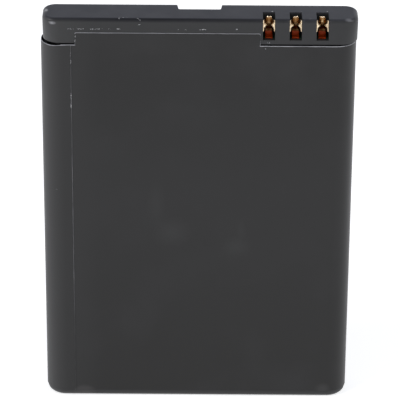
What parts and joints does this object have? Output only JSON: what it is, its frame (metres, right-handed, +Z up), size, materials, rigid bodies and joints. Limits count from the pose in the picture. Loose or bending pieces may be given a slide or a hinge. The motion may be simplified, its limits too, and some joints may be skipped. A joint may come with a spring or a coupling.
{
  "type": "mobile phone battery",
  "caption": "Flat lithium-ion phone battery: label-wrapped cell with a moulded end cap, recessed fork contacts and a latch notch.",
  "frame": {"origin": "middle of the base, where the battery stands on its bottom cap", "axes": "+Z up the length to the contact end, +X to the right seen from the contacts' side, +Y to the plain back"},
  "size_m": [0.0416, 0.0057, 0.0566],
  "materials": {
    "cap_plastic": "fine moulded satin",
    "label_film": "satin film",
    "can_aluminium": "drawn",
    "electrode": "wound foil and separator",
    "nickel": "rolled",
    "contact_gold": "gold plated",
    "insulator": "natural",
    "foam": "foam",
    "board_resin": "solder mask",
    "chip_resin": "moulded",
    "ceramic": "fired"
  },
  "bodies": {
    "root": {"top_cap": "cap_plastic", "bottom_cap": "cap_plastic", "label_wrap": "label_film", "bottom_tape": "insulator", "cell_can": "can_aluminium", "cell_lid": "can_aluminium", "fill_plug": "can_aluminium", "terminal_gasket": "insulator", "negative_terminal": "nickel", "plate_insulator": "insulator", "terminal_plate": "nickel", "electrode_roll": "electrode", "roll_insulator": "insulator", "roll_positive_lead": "can_aluminium", "roll_negative_lead": "nickel", "lid_insulator": "insulator", "clad_plate": "nickel", "positive_strip": "nickel", "negative_strip": "nickel", "fuse_strip": "nickel", "thermal_fuse": "chip_resin", "strip_pad": "foam", "board_pad": "foam", "circuit_board": "board_resin", "contact_positive": "contact_gold", "contact_sense": "contact_gold", "contact_negative": "contact_gold", "protection_chip": "chip_resin", "mosfet_chip": "chip_resin", "resistor_1": "chip_resin", "resistor_2": "chip_resin", "resistor_3": "chip_resin", "capacitor_1": "ceramic", "capacitor_2": "ceramic", "thermistor": "ceramic"}
  },
  "joints": []
}
